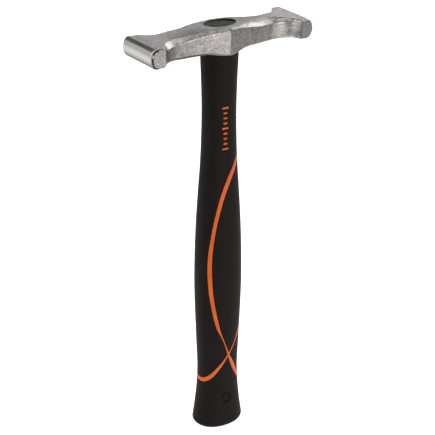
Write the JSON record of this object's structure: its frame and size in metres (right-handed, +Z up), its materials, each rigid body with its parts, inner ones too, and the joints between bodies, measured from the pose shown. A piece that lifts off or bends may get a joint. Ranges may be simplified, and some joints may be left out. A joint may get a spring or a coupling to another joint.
{
  "type": "stretching hammer",
  "caption": "Cross-peen hammer with flared, rounded peens at both ends of a forged steel head, on a straight soft-grip handle with raised orange lines.",
  "frame": {"origin": "centre of the flat butt end of the handle", "axes": "+Z up the handle towards the head, +X along the head over the side of the grip where the orange lines close into a pointed lens, +Y across the peens"},
  "size_m": [0.13, 0.037, 0.305],
  "materials": {
    "forged_steel": "forged and shot-blasted, with ground striking faces",
    "cast_resin": "cast",
    "fibreglass": "sawn",
    "orange_plastic": "satin",
    "soft_grip": "matte"
  },
  "bodies": {
    "root": {"hammer_head": "forged_steel", "eye_resin": "cast_resin", "core_rod": "fibreglass", "inner_sleeve": "orange_plastic", "grip_main": "soft_grip", "grip_front_panel": "soft_grip", "grip_lens_panel": "soft_grip", "grip_butt": "soft_grip"}
  },
  "joints": []
}
